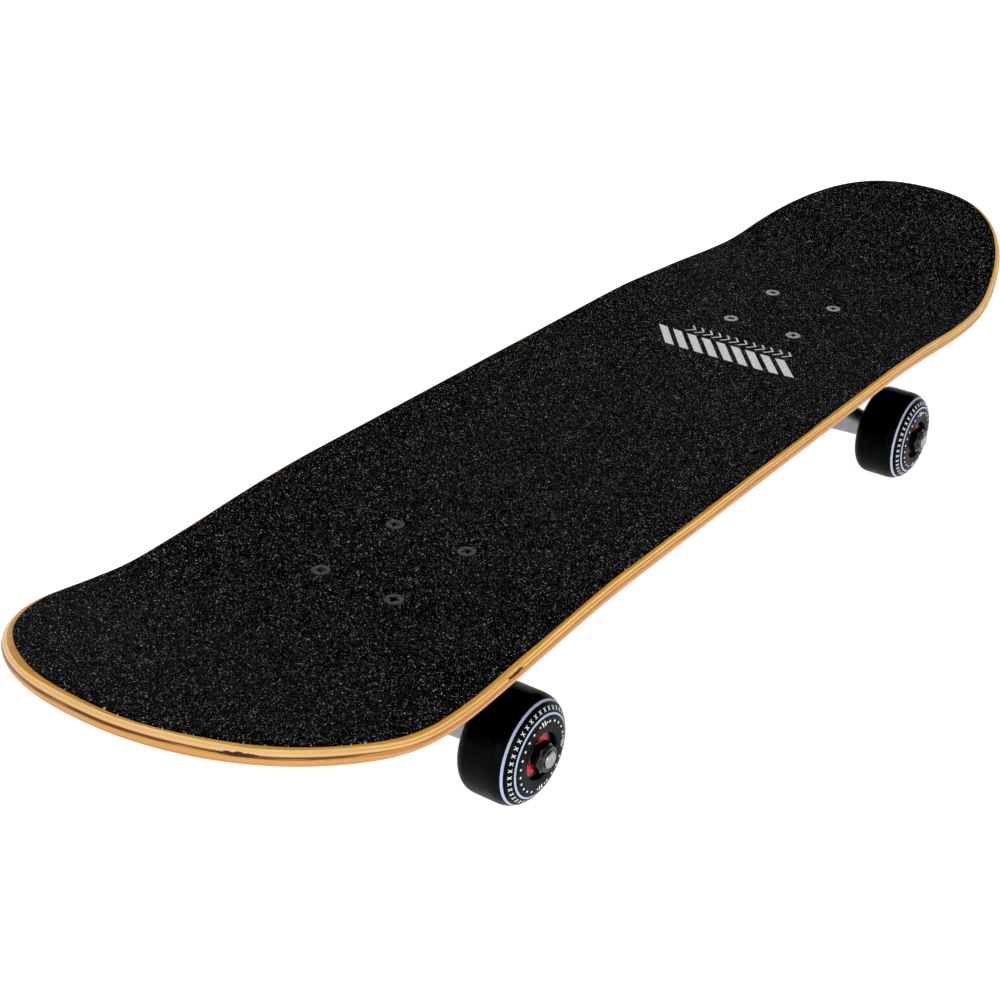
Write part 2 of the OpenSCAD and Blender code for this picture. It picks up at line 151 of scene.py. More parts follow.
def turned(profile, count=64, shape=None):
    """Points and faces of a profile of (radius, height) rows turned about Z.

    The profile closes on itself unless it starts on the axis. shape(r, z, a) gives the
    radius at the angle a where the form isn't round.
    """
    points, rows = [], []
    for r, z in profile:
        if r < ON_AXIS:
            rows.append([len(points)] * count)
            points.append((0, 0, z))
            continue
        row = []
        for k in range(count):
            a = 2 * math.pi * k / count
            q = shape(r, z, a) if shape else r
            row.append(len(points))
            points.append((q * math.cos(a), q * math.sin(a), z))
        rows.append(row)
    pairs = list(zip(rows, rows[1:]))
    if profile[0][0] > ON_AXIS:
        pairs.append((rows[-1], rows[0]))
    faces = []
    for a, b in pairs:
        for k in range(count):
            j = (k + 1) % count
            face = tuple(dict.fromkeys((a[k], a[j], b[j], b[k])))
            if len(face) > 2:
                faces.append(face)
    return points, faces


def eased(profile, radius):
    """The profile with each corner rounded by about radius."""
    closed = profile[0][0] > ON_AXIS
    n = len(profile)
    out = []
    for i, p in enumerate(profile):
        if not closed and i in (0, n - 1):
            out.append(p)
            continue
        a, p, b = (Vector(profile[j % n]) for j in (i - 1, i, i + 1))
        near = min(radius, 0.4 * (a - p).length, 0.4 * (b - p).length)
        start, end = p + (a - p).normalized() * near, p + (b - p).normalized() * near
        for t in (0, 0.33, 0.67, 1):
            q = start.lerp(p, t).lerp(p.lerp(end, t), t)
            out.append((q.x, q.y))
    return out


def joined(*parts):
    """One list of points and faces from several."""
    points, faces = [], []
    for p, f in parts:
        faces += [tuple(i + len(points) for i in face) for face in f]
        points += [tuple(q) for q in p]
    return points, faces


def moved(part, matrix):
    return [tuple(matrix @ Vector(p)) for p in part[0]], part[1]


def flipped(part):
    """Turned half a turn about X, so that it faces the other way along Z."""
    return moved(part, Matrix.Rotation(math.pi, 4, "X"))


def inside(loop, points):
    """Which points lie inside a closed loop of points."""
    loop, points = np.asarray(loop, float), np.asarray(points, float)
    odd = np.zeros(len(points), bool)
    for (x0, y0), (x1, y1) in zip(loop, np.roll(loop, -1, 0)):
        if y0 == y1:
            continue
        crosses = (points[:, 1] < y0) != (points[:, 1] < y1)
        odd ^= crosses & (points[:, 0] < x0 + (x1 - x0) * (points[:, 1] - y0) / (y1 - y0))
    return odd


def filled(loops, holes, extra):
    """Triangles between loops, the first of them the outer one, and holes.

    Points come in the order loops, holes, extra.
    """
    points = np.concatenate([np.asarray(p, float).reshape(-1, 2) for p in (*loops, *holes, extra)])
    edges, first = [], 0
    for loop in (*loops, *holes):
        edges += [(first + k, first + (k + 1) % len(loop)) for k in range(len(loop))]
        first += len(loop)
    _, _, faces, origin, _, _ = delaunay_2d_cdt([Vector(p) for p in points], edges, [], 0, 1e-6)
    faces = np.array([[origin[k][0] for k in face] for face in faces])
    middle = points[faces].mean(1)
    keep = inside(loops[0], middle)
    for hole in holes:
        keep &= ~inside(hole, middle)
    a, b, c = (points[faces[:, k]] for k in (0, 1, 2))
    area = (b[:, 0] - a[:, 0]) * (c[:, 1] - a[:, 1]) - (b[:, 1] - a[:, 1]) * (c[:, 0] - a[:, 0])
    keep &= np.abs(area) > 1e-9
    faces[area < 0] = faces[area < 0][:, ::-1]
    return points, faces[keep]


def bands(rows, closed=True):
    """Quads between neighbouring rows of point numbers."""
    faces = []
    for a, b in zip(rows, rows[1:]):
        count = len(a)
        for k in range(count if closed else count - 1):
            j = (k + 1) % count
            faces.append((a[k], a[j], b[j], b[k]))
    return faces


def piece(name, part, material, body, stands_for=(), place=None, sharp=35, attribute=None):
    """A mesh object from points in mm, riding on a CAD body. place is its matrix in metres."""
    points, faces = part
    points = [(x * MM, y * MM, z * MM) for x, y, z in points]
    mesh = bpy.data.meshes.new(name)
    mesh.from_pydata(points, [], [tuple(map(int, face)) for face in faces])
    if attribute is not None:
        layer = mesh.attributes.new("place", "FLOAT_VECTOR", "POINT")
        layer.data.foreach_set("vector", np.asarray(attribute, np.float32).ravel())
    work = bmesh.new()
    work.from_mesh(mesh)
    bmesh.ops.recalc_face_normals(work, faces=work.faces)
    work.to_mesh(mesh)
    work.free()
    mesh.shade_smooth()
    mesh.set_sharp_from_angle(angle=math.radians(sharp))
    obj = bpy.data.objects.new(name, mesh)
    scene.collection.objects.link(obj)
    obj.data.materials.append(material)
    return settled(obj, body, stands_for, place)


def settled(obj, body, stands_for=(), place=None):
    """Places an object, hides the CAD nodes that it replaces and hangs it on its body."""
    if place is not None:
        obj.matrix_world = place
    if stands_for:
        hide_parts(*stands_for)
    if body:
        bpy.context.view_layer.update()
        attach(obj, body)
    return obj


# ---------------------------------------------------------------- materials
def gray(v):
    return (v, v, v, 1)


def linear(*display):
    """Linear colour from red, green and blue as display values of 0 to 255."""
    color = [v / 255 / 12.92 if v <= 10 else ((v / 255 + 0.055) / 1.055) ** 2.4 for v in display]
    return (*color, 1)


class Shader:
    """A node material under construction."""

    def __init__(self, name, **sockets):
        self.material = bpy.data.materials.new(name)
        self.material.use_nodes = True
        self.tree = self.material.node_tree
        self.shader = self.tree.nodes["Principled BSDF"]
        for key, value in sockets.items():
            self.set(key.replace("_", " "), value)

    def set(self, socket, value):
        self.put(self.shader.inputs[socket], value)

    def put(self, socket, value):
        if isinstance(value, bpy.types.NodeSocket):
            self.tree.links.new(value, socket)
        else:
            socket.default_value = value

    def node(self, kind, out=0, inputs=(), **props):
        made = self.tree.nodes.new("ShaderNode" + kind)
        for key, value in props.items():
            setattr(made, key, value)
        for key, value in dict(inputs).items():
            self.put(made.inputs[key], value)
        return made.outputs[out]

    def math(self, operation, *values):
        return self.node("Math", inputs=enumerate(values), operation=operation)

    def add(self, a, b):
        return self.math("ADD", a, b)

    def times(self, value, *others):
        for other in others:
            value = self.math("MULTIPLY", value, other)
        return value

    def object_mm(self):
        """Object coordinates in mm."""
        return self.scaled(self.node("TexCoord", out="Object"), (1000, 1000, 1000))

    def place(self):
        """The piece's own (s, y, n) in mm."""
        return self.node("Attribute", out="Vector", attribute_name="place")

    def scaled(self, vector, by):
        return self.node("VectorMath", inputs={0: vector, 1: by}, operation="MULTIPLY")

    def parts(self, vector):
        made = self.tree.nodes.new("ShaderNodeSeparateXYZ")
        self.put(made.inputs[0], vector)
        return made.outputs

    def noise(self, vector, scale=1.0, detail=2.0, roughness=0.5):
        inputs = {"Vector": vector, "Scale": scale, "Detail": detail, "Roughness": roughness}
        return self.node("TexNoise", inputs=inputs)

    def cells(self, vector, scale, channel):
        """A random value for each cell, from one channel of its random colour."""
        color = self.node("TexVoronoi", out="Color", inputs={"Vector": vector, "Scale": scale})
        return self.parts(color)[channel]

    def remap(self, value, low, high, to_low=0.0, to_high=1.0):
        inputs = {"Value": value, "From Min": low, "From Max": high, "To Min": to_low, "To Max": to_high}
        return self.node("MapRange", inputs=inputs)

    def within(self, value, low, full, still_full, high):
        """1 from full to still_full, falling to 0 at low and high."""
        return self.times(self.remap(value, low, full), self.remap(value, high, still_full))

    def ramp(self, value, stops):
        """A colour ramp of (position, colour or gray level) stops."""
        made = self.tree.nodes.new("ShaderNodeValToRGB")
        self.put(made.inputs[0], value)
        elements = made.color_ramp.elements
        while len(elements) < len(stops):
            elements.new(0.5)
        for element, (at, color) in zip(elements, stops):
            element.position = at
            element.color = color if isinstance(color, tuple) else gray(color)
        return made.outputs[0]

    def mix(self, factor, a, b, blend="MIX"):
        made = self.tree.nodes.new("ShaderNodeMix")
        made.data_type = "RGBA"
        made.blend_type = blend
        for key, value in zip((0, 6, 7), (factor, a, b)):
            self.put(made.inputs[key], value)
        return made.outputs[2]

    def bump(self, height, distance, strength=0.5):
        """A normal for a height of 0 to 1, with distance in metres."""
        return self.node("Bump", inputs={"Height": height, "Distance": distance, "Strength": strength})


# Knots that break out at the edge: their (s, y, n) in mm, and 1 over their half size along each
KNOTS = (((-232, -95, -2.4), (0.15, 0.15, 1.25)), ((-365, -62, -3.5), (0.11, 0.11, 1.0)))
# Printed rows of bars on the grip tape: s and y limits, pitch, bar width, and whether they are chevrons
PRINTS = ((106, 126.5, -44, 42, 9.6, 5.9, False), (130, 139, -37, 31, 5.7, 1.25, True))


def maple():
    """Pressed maple: plies by depth, grain along the board, clear satin coat."""
    m = Shader("maple_plies", Roughness=0.42, Specular_IOR_Level=0.22, Coat_Weight=0.06, Coat_Roughness=0.25)
    place = m.place()
    s, _, n = m.parts(place)
    drift = m.add(m.noise(m.scaled(place, (0.016, 0.016, 0)), detail=1), -0.5)
    depth = m.add(n, m.times(drift, 1.5))
    golden, pale = linear(196, 136, 50), linear(238, 200, 116)
    tan, blush = linear(200, 146, 82), linear(232, 184, 124)
    amber, straw = linear(188, 120, 50), linear(198, 144, 80)
    plies = (
        (0.0, golden), (0.70, golden), (0.95, pale), (1.35, pale), (1.55, tan), (2.0, tan), (2.15, blush),
        (2.6, blush), (2.8, amber), (4.5, amber), (4.7, straw), (6.1, straw), (6.3, amber), (7.2, amber),
        (7.4, golden), (8.4, golden),
    )
    base = m.ramp(m.times(depth, -1 / DECK_T), [(at / DECK_T, color) for at, color in plies])
    on_edge = m.within(n, -8.4, -7.9, -0.5, 0)
    face_grain = m.noise(m.scaled(place, (0.02, 0.9, 0)), detail=4, roughness=0.65)
    edge_grain = m.noise(m.scaled(place, (0.018, 0.018, 2.3)), detail=6, roughness=0.74)
    fibre = m.noise(m.scaled(place, (0.12, 0.12, 9.0)), detail=2)
    grain = m.mix(on_edge, face_grain, edge_grain)
    base = m.mix(0.75, base, m.ramp(grain, [(0.34, 0.42), (0.48, 0.98), (0.68, 1.25)]), "MULTIPLY")
    base = m.mix(0.5, base, m.ramp(fibre, [(0.3, 0.6), (0.6, 1.15)]), "MULTIPLY")
    # Towards the nose the margin is paler and the lower plies browner
    at_nose = m.remap(s, 120, 240)
    margin = m.remap(depth, -1.0, -0.7)
    lower = m.within(depth, -7.6, -7.2, -4.8, -4.4)
    base = m.mix(m.times(at_nose, margin, 0.55), base, linear(222, 180, 112))
    base = m.mix(m.times(at_nose, lower, 0.4), base, linear(170, 104, 48))
    # At the tail the middle plies are paler, the upper band partly a painted highlight
    at_tail = m.remap(s, -290, -350)
    low_band = m.within(depth, -6.6, -5.6, -3.25, -2.95)
    high_band = m.within(depth, -3.2, -3.0, -1.4, -1.2)
    base = m.mix(m.times(at_tail, low_band), base, linear(194, 146, 80))
    base = m.mix(m.times(at_tail, high_band, 0.75), base, linear(230, 186, 132))
    # Dark heart streaks in the lower middle plies, more of them towards the tail
    streaks = m.noise(m.scaled(place, (0.028, 0.028, 1.6)), detail=3, roughness=0.6)
    more = m.remap(s, -270, -345, 0.0, 0.24)
    dark = m.remap(m.add(streaks, more), 0.59, 0.68)
    band = m.within(depth, -4.6, -4.15, -3.25, -2.95)
    base = m.mix(m.times(dark, band, 0.97), base, linear(98, 40, 12))
    for at, size in KNOTS:
        away = m.scaled(m.node("VectorMath", inputs={0: place, 1: at}, operation="SUBTRACT"), size)
        far = m.node("VectorMath", out="Value", inputs={0: away}, operation="LENGTH")
        rough = m.add(m.noise(m.scaled(place, (0.4, 0.4, 1.8)), 1.0, 3), -0.5)
        ragged = m.add(far, m.times(rough, 1.5))
        base = m.mix(m.remap(ragged, 0.95, 0.75), base, linear(52, 24, 12))
    # The underside is stained black, with the grain and a few scuffs showing through
    scuffs = m.remap(m.noise(m.scaled(place, (0.05, 0.4, 0)), detail=5, roughness=0.7), 0.62, 0.74)
    stain = m.ramp(face_grain, [(0.3, 0.006), (0.7, 0.018)])
    stain = m.mix(m.times(scuffs, 0.35), stain, linear(120, 96, 66))
    base = m.mix(m.remap(n, -8.12, -8.3), base, stain)
    m.set("Base Color", base)
    m.set("Roughness", m.remap(grain, 0.2, 0.8, 0.34, 0.52))
    fine = m.add(m.times(fibre, 0.5), grain)
    m.set("Normal", m.bump(fine, 0.00008))
    return m.material


def grip():
    """Black abrasive sheet with grit, its sparkle painted into the colour as pale specks, and a worn white
    print of plain bars.
    """
    m = Shader("grip_grit", Roughness=0.8, Specular_IOR_Level=0.02)
    place = m.scaled(m.place(), (1, 1, 0))
    s, y, _ = m.parts(place)
    coarse = m.cells(place, 4.1, 0)
    fine = m.cells(place, 5.6, 1)
    sparse = m.cells(place, 1.9, 2)
    patches = m.noise(place, 0.05, 3, 0.6)
    clusters = m.noise(place, 0.35, 2)
    # The grit's sparkle is painted: bright cells in the base colour stand for glints off the crystals
    painted_sparkle = m.ramp(coarse, [(0.0, 0.0), (0.8, 0.0), (0.95, 0.012), (0.984, 0.14), (1.0, 1.0)])
    dust_and_glints = m.ramp(fine, [(0.0, 0.0), (0.74, 0.0), (0.92, 0.012), (1.0, 0.13)])
    painted_crystal_glints = m.ramp(sparse, [(0.0, 0.0), (0.9955, 0.0), (0.998, 0.45), (1.0, 0.6)])
    grit_and_glints = m.mix(1.0, m.mix(1.0, painted_sparkle, dust_and_glints, "ADD"), painted_crystal_glints, "ADD")
    grit_and_glints = m.mix(1.0, grit_and_glints, m.ramp(clusters, [(0.3, 0.84), (0.7, 1.0)]), "MULTIPLY")
    base = m.mix(1.0, grit_and_glints, m.ramp(patches, [(0.3, 0.0004), (0.7, 0.0016)]), "ADD")
    print_mask = None
    for s0, s1, y0, y1, pitch, wide, chevron in PRINTS:
        run = m.add(s, -(s0 + s1) / 2)
        lean = m.math("SUBTRACT", y, m.times(m.math("ABSOLUTE", run) if chevron else run, 0.8))
        phase = m.math("PINGPONG", m.add(lean, -y0), pitch / 2)
        gap_half = pitch / 2 - wide / 2
        bar = m.remap(phase, gap_half - 0.12, gap_half + 0.12)
        for v, low, high in ((s, s0, s1), (lean, y0, y1)):
            bar = m.times(bar, m.within(v, low - 0.1, low + 0.1, high - 0.1, high + 0.1))
        print_mask = bar if print_mask is None else m.math("MAXIMUM", print_mask, bar)
    worn = m.remap(m.add(fine, m.times(m.noise(place, 1.2, 2), 0.6)), 0.22, 0.36)
    shade = m.ramp(m.cells(place, 2.0, 0), [(0.0, 0.5), (1.0, 0.8)])
    m.set("Base Color", m.mix(m.times(print_mask, worn), base, shade))
    m.set("Roughness", m.remap(fine, 0, 1, 0.62, 0.95))
    height = m.add(m.times(coarse, 0.6), m.times(fine, 0.6))
    m.set("Normal", m.bump(height, 0.00022, 0.55))
    return m.material


def urethane(name, tone, rough):
    """Cast urethane: near black, faint turning lines, a little dust."""
    m = Shader(name, Specular_IOR_Level=0.055)
    at = m.object_mm()
    x, y, z = m.parts(at)
    r = m.math("SQRT", m.add(m.times(x, x), m.times(y, y)))
    lines = m.noise(m.node("CombineXYZ", inputs={0: m.times(r, 3.5), 1: m.times(z, 3.5)}), 1.0, 3, 0.7)
    cloud = m.noise(at, 0.12, 3, 0.6)
    dust_and_glints = m.ramp(m.noise(at, 1.6, 3, 0.75), [(0.60, 0.0), (0.80, 0.022)])
    turned_tone = m.ramp(lines, [(0.35, 0.7), (0.62, 1.4), (0.75, 3.4)])
    clouded = m.ramp(cloud, [(0.3, tone * 0.7), (0.7, tone * 1.5)])
    base = m.mix(1.0, clouded, turned_tone, "MULTIPLY")
    m.set("Base Color", m.mix(1.0, base, dust_and_glints, "ADD"))
    m.set("Roughness", m.add(m.remap(cloud, 0.3, 0.7, rough - 0.06, rough + 0.08), m.times(lines, 0.06)))
    m.set("Normal", m.bump(lines, 0.00002, 0.6))
    return m.material


def ink(name, color):
    """Pad-printed ink with slightly broken coverage."""
    m = Shader(name, Roughness=0.55, Specular_IOR_Level=0.3)
    at = m.object_mm()
    cover = m.noise(at, 2.2, 3, 0.7)
    dark = tuple(0.72 * v for v in color[:3]) + (1,)
    m.set("Base Color", m.mix(m.remap(cover, 0.35, 0.6), dark, color))
    m.set("Normal", m.bump(cover, 0.00001))
    return m.material


def metal(name, color, rough, grain=1.0, cast=0.0, stain=0.0, metallic=1.0, pit=None):
    """Metal with brushed or cast grain and darker stains, and painted shade below a height of pit mm."""
    m = Shader(name, Metallic=metallic)
    at = m.object_mm()
    cloud = m.noise(at, 0.18, 4, 0.62)
    brushed = m.noise(m.scaled(at, (1.0, 1.0, 9.0)), 1.3 * grain, 3, 0.6)
    tone = m.ramp(cloud, [(0.28, 0.74), (0.55, 1.0), (0.8, 1.14)])
    base = m.mix(1.0, color, tone, "MULTIPLY")
    if stain:
        spots = m.ramp(m.noise(at, 0.7, 5, 0.75), [(0.55, 0.0), (0.75, stain)])
        base = m.mix(spots, base, tuple(0.35 * v for v in color[:3]) + (1,))
    if pit:
        # Below pit the recess is painted near black as shade, and its metal sheen is turned down
        painted_recess_shade = m.remap(m.parts(at)[2], pit, pit - 0.3)
        base = m.mix(painted_recess_shade, base, gray(0.004))
        m.set("Metallic", m.times(m.remap(painted_recess_shade, 0, 1, 1, 0), metallic))
    m.set("Base Color", base)
    m.set("Roughness", m.add(m.remap(cloud, 0.25, 0.8, rough - 0.05, rough + 0.1), m.times(brushed, 0.08)))
    height = brushed
    if cast:
        height = m.add(m.times(brushed, 0.2), m.noise(at, 1.5, 5, 0.7))
    m.set("Normal", m.bump(height, 0.00001 + 0.00012 * cast))
    return m.material


def moulded(name, color, rough, grain=1.2):
    """Moulded plastic or rubber with a fine matt grain."""
    m = Shader(name, Specular_IOR_Level=0.35)
    at = m.object_mm()
    cloud = m.noise(at, 0.25, 3, 0.6)
    fine = m.noise(at, 4.0 * grain, 3, 0.6)
    m.set("Base Color", m.mix(1.0, color, m.ramp(cloud, [(0.3, 0.7), (0.7, 1.25)]), "MULTIPLY"))
    m.set("Roughness", m.remap(fine, 0.3, 0.7, rough - 0.07, rough + 0.07))
    m.set("Normal", m.bump(fine, 0.00004))
    return m.material


def red_shield():
    """Red rubber bearing shield with two black sectors."""
    m = Shader("shield_red_black", Roughness=0.34, Specular_IOR_Level=0.5)
    at = m.object_mm()
    x, y, _ = m.parts(at)
    turn = m.math("ARCTAN2", y, x)
    fold = m.math("COSINE", m.times(m.add(turn, -math.radians(50)), 2))
    field = m.remap(m.add(fold, m.times(m.noise(at, 1.5, 2), 0.05)), 0.36, 0.44)
    fine = m.noise(at, 3.0, 3)
    red = m.ramp(fine, [(0.3, linear(214, 18, 22)), (0.7, linear(246, 40, 40))])
    m.set("Base Color", m.mix(field, gray(0.006), red))
    m.set("Normal", m.bump(fine, 0.00003))
    return m.material


MAPLE = maple()
GRIP = grip()
TYRE = urethane("wheel_urethane_black", 0.0035, 0.36)
RING_INK = ink("ring_ink", linear(184, 194, 226))
MARK_INK = ink("mark_ink", linear(246, 248, 252))
CAST_HANGER = metal("hanger_cast_aluminium", gray(0.30), 0.33, cast=0.8, stain=0.5)
CAST_BASE = metal("base_cast_aluminium", gray(0.36), 0.44, cast=0.8, stain=0.35)
AXLE_STEEL = metal("axle_steel_bright", gray(0.33), 0.24, grain=2.0, stain=0.3)
ZINC = metal("zinc_plate", (0.60, 0.61, 0.63, 1), 0.32, grain=1.5, stain=0.2)
BEARING = metal("bearing_steel_ground", gray(0.55), 0.2, grain=3.0)
BLACK_OXIDE = metal("black_oxide", gray(0.009), 0.24, grain=1.5, stain=0.2, metallic=0.2)
BOLT_BLACK = metal("bolt_dark_finish", gray(0.062), 0.42, grain=2.0, stain=0.3, metallic=0.8, pit=BOLT_PIT)
BOLT_NICKEL = metal("bolt_nickel_finish", (0.40, 0.38, 0.34, 1), 0.38, grain=2.0, stain=0.35, pit=BOLT_PIT)
PIVOT = moulded("pivot_plastic_black", gray(0.02), 0.5)
BUSHING = moulded("bushing_urethane_black", gray(0.014), 0.42, grain=0.8)
SHIELD = red_shield()

# ---------------------------------------------------------------- deck and grip tape
BOLT_PITCH = (53.98, 41.28)
HOLE_R = 2.49
SINK_R = 3.98
HEAD_R = 4.4
HOLE_POINTS = 32
DISH_R, DISH_W, DISH_DEEP = 7.6, 2.6, 0.28
GRIP_INSET = 3.1
BOLTS = [
    (sx * TRUCK_X + ix * BOLT_PITCH[0] / 2, iy * BOLT_PITCH[1] / 2)
    for sx in (1, -1) for ix in (-1, 1) for iy in (-1, 1)
]


def circle(centre, radius, count=HOLE_POINTS):
    a = np.arange(count) * 2 * math.pi / count
    return np.stack([centre[0] + radius * np.cos(a), centre[1] + radius * np.sin(a)], -1)


def grid(rim, out, margin, spacing):
    """A grid of points at least margin inside the rim and clear of the bolts."""
    s = np.arange(-TAIL_REACH, NOSE_REACH, spacing)
    y = np.arange(-DECK_W / 2, DECK_W / 2, spacing)
    points = np.stack(np.meshgrid(s, y), -1).reshape(-1, 2)
    points = points[inside(rim - out * margin, points)]
    for bolt in BOLTS:
        points = points[np.linalg.norm(points - bolt, axis=1) > 9.5]
    return points


def sheet(loops, hole_radii, extra):
    """filled() with rings of points round each bolt, the first radius being the hole."""
    holes = [circle(b, hole_radii[0]) for b in BOLTS]
    rings = [circle(b, r) for b in BOLTS for r in hole_radii[1:]]
    points, faces = filled(loops, holes, np.concatenate([*rings, extra]))
    first = sum(map(len, loops))
    starts = range(first, first + HOLE_POINTS * len(BOLTS), HOLE_POINTS)
    return points, faces, [list(range(k, k + HOLE_POINTS)) for k in starts]


def build_deck():
    """The pressed wood with rounded rims and countersunk holes, and its (s, y, n) points."""
    rim, out = outline(1.6)
    count = len(rim)
    extra = grid(rim, out, EDGE_R + 3, 5.0)
    flat = rim - out * EDGE_R
    top, top_faces, top_holes = sheet([flat], (SINK_R, 7.0), extra)
    low, low_faces, low_holes = sheet([flat], (HOLE_R, 5.0), extra)
    table = [np.column_stack([top, np.zeros(len(top))]), np.column_stack([low, np.full(len(low), -DECK_T)])]
    faces = [tuple(f) for f in top_faces] + [tuple(f[::-1] + len(top)) for f in low_faces]
    first = len(top) + len(low)
    rows = [list(range(count))]
    levels = [(a, EDGE_R * (math.sin(a) - 1)) for a in np.radians(np.linspace(80, 0, 9))]
    levels += [(a, -DECK_T + EDGE_R * (1 - math.sin(a))) for a in np.radians(np.linspace(0, 80, 9))]
    for a, n in levels:
        table.append(np.column_stack([rim - out * EDGE_R * (1 - math.cos(a)), np.full(count, n)]))
        rows.append(list(range(first, first + count)))
        first += count
    rows.append(list(range(len(top), len(top) + count)))
    faces += bands(rows)
    for bolt, upper, lower in zip(BOLTS, top_holes, low_holes):
        table.append(np.column_stack([circle(bolt, HOLE_R), np.full(HOLE_POINTS, HOLE_R - SINK_R)]))
        middle = list(range(first, first + HOLE_POINTS))
        first += HOLE_POINTS
        faces += bands([upper, middle, [k + len(top) for k in lower]])
    table = np.concatenate(table)
    return (board_points(*table.T), faces), table


def build_grip():
    """The grip tape, cut a little unevenly and pressed down round the bolts, and its (s, y, n) points."""
    rim, out = outline(1.6)
    count = len(rim)

    def wander(p, length, seed):
        return noise.noise(Vector((p[0] / length, p[1] / length, seed)))

    inset = np.array([GRIP_INSET + 0.55 * wander(p, 34, 3) + 0.12 * wander(p, 2.3, 7) for p in rim])
    # At the tail the sheet stops a little short on the left and reaches further on the right
    inset += 0.9 * np.clip((-250 - rim[:, 0]) / 100, 0, 1) * np.clip(rim[:, 1] / 60, -0.6, 1)
    inset = inset[:, None]
    border = rim - out * inset
    shoulder = rim - out * (inset + 0.3)
    inner = rim - out * (EDGE_R + 1.2)
    extra = grid(rim, out, EDGE_R + 3.5, 4.0)
    points, faces, holes = sheet([shoulder, inner], (HEAD_R + 0.01, 5.5, 6.4, DISH_R), extra)
    level = np.full(len(points), GRIP_T)
    level[:count] += wood_level(inset[:, 0] + 0.3)
    for bolt in BOLTS:
        away = np.linalg.norm(points - bolt, axis=1)
        dip = np.clip((DISH_R - away) / DISH_W, 0, 1)
        level -= DISH_DEEP * dip * dip * (3 - 2 * dip)
    # The underside reaches a little into the wood, so that no gap shows
    under = level - GRIP_T - 0.05
    under[count:] = np.minimum(under[count:], -0.05)
    total = len(points)
    table = [np.column_stack([points, level]), np.column_stack([points, under])]
    edge = wood_level(inset[:, 0])
    for n in (edge + GRIP_T - 0.18, edge - 0.05):
        table.append(np.column_stack([border, n]))
    table = np.concatenate(table)
    rows = [list(range(k, k + count)) for k in (0, 2 * total, 2 * total + count, total)]
    solid = [tuple(f) for f in faces] + [tuple(f[::-1] + total) for f in faces] + bands(rows)
    for hole in holes:
        solid += bands([hole, [k + total for k in hole]])
    return (board_points(*table.T), solid), table


for label, build, material, slot, node in (
    ("deck_board", build_deck, MAPLE, "maple", "deck"),
    ("grip_sheet", build_grip, GRIP, "grip", "grip_tape"),
):
    part, table = build()
    piece(label, part, material, "board", [node], sharp=60, attribute=table)

# ---------------------------------------------------------------- fasteners
AXLE_R = 3.97
# Pitch and depth of the threads
THREADS = {"bolt": (0.794, 0.42), "axle": (1.058, 0.5)}


def threaded(kind, low, high):
    """Radius function that cuts a thread between two heights."""
    pitch, depth = THREADS[kind]

    def shape(r, z, a):
        if not low <= z <= high:
            return r
        phase = (z / pitch - a / (2 * math.pi)) % 1
        ease = min(1.0, (z - low) / pitch, (high - z) / pitch)
        return r - depth * ease * abs(2 * phase - 1)

    return shape


def steps(low, high, kind):
    """Heights close enough together for a thread."""
    count = max(2, round((high - low) / THREADS[kind][0] * 6))
    return [low + (high - low) * k / count for k in range(count + 1)]


def hexagon(across):
    """Radius function that keeps a turned shape inside a hexagon."""

    def shape(r, z, a):
        b = a % (math.pi / 3) - math.pi / 6
        return min(r, across / 2 / math.cos(b))

    return shape


def locknut(across, bore, bottom, hex_top, top, collar_r):
    """Nylon-insert hexagon nut about Z: chamfered hexagon, domed collar, open bore."""
    corner = across / 2 / math.cos(math.pi / 6)
    flat = across / 2
    outer = [(flat * 0.94, bottom), (flat, bottom + 0.15)]
    outer += [(flat + (corner - flat) * k / 5, bottom + 0.2 + 0.13 * k) for k in range(1, 6)]
    outer += [(corner, hex_top - 0.9)]
    outer += [(corner - (corner - flat) * k / 5, hex_top - 0.85 + 0.13 * k) for k in range(0, 5)]
    outer += [(flat - 0.05, hex_top - 0.05), (collar_r + 0.12, hex_top + 0.05)]
    height = top - hex_top
    dome = [(collar_r, hex_top + 0.25), (collar_r, top - 0.45 * height)]
    dome += [(collar_r - 0.5 * (1 - math.cos(a)), top - 0.45 * height * (1 - math.sin(a)))
             for a in (0.5, 1.0, math.pi / 2)]
    rim = [(collar_r - 0.95, top), (collar_r - 1.15, top - 0.25), (bore + 0.15, top - 0.3), (bore, top - 0.5)]
    return turned([*outer, *dome, *rim, (bore, bottom)], 96, hexagon(across))


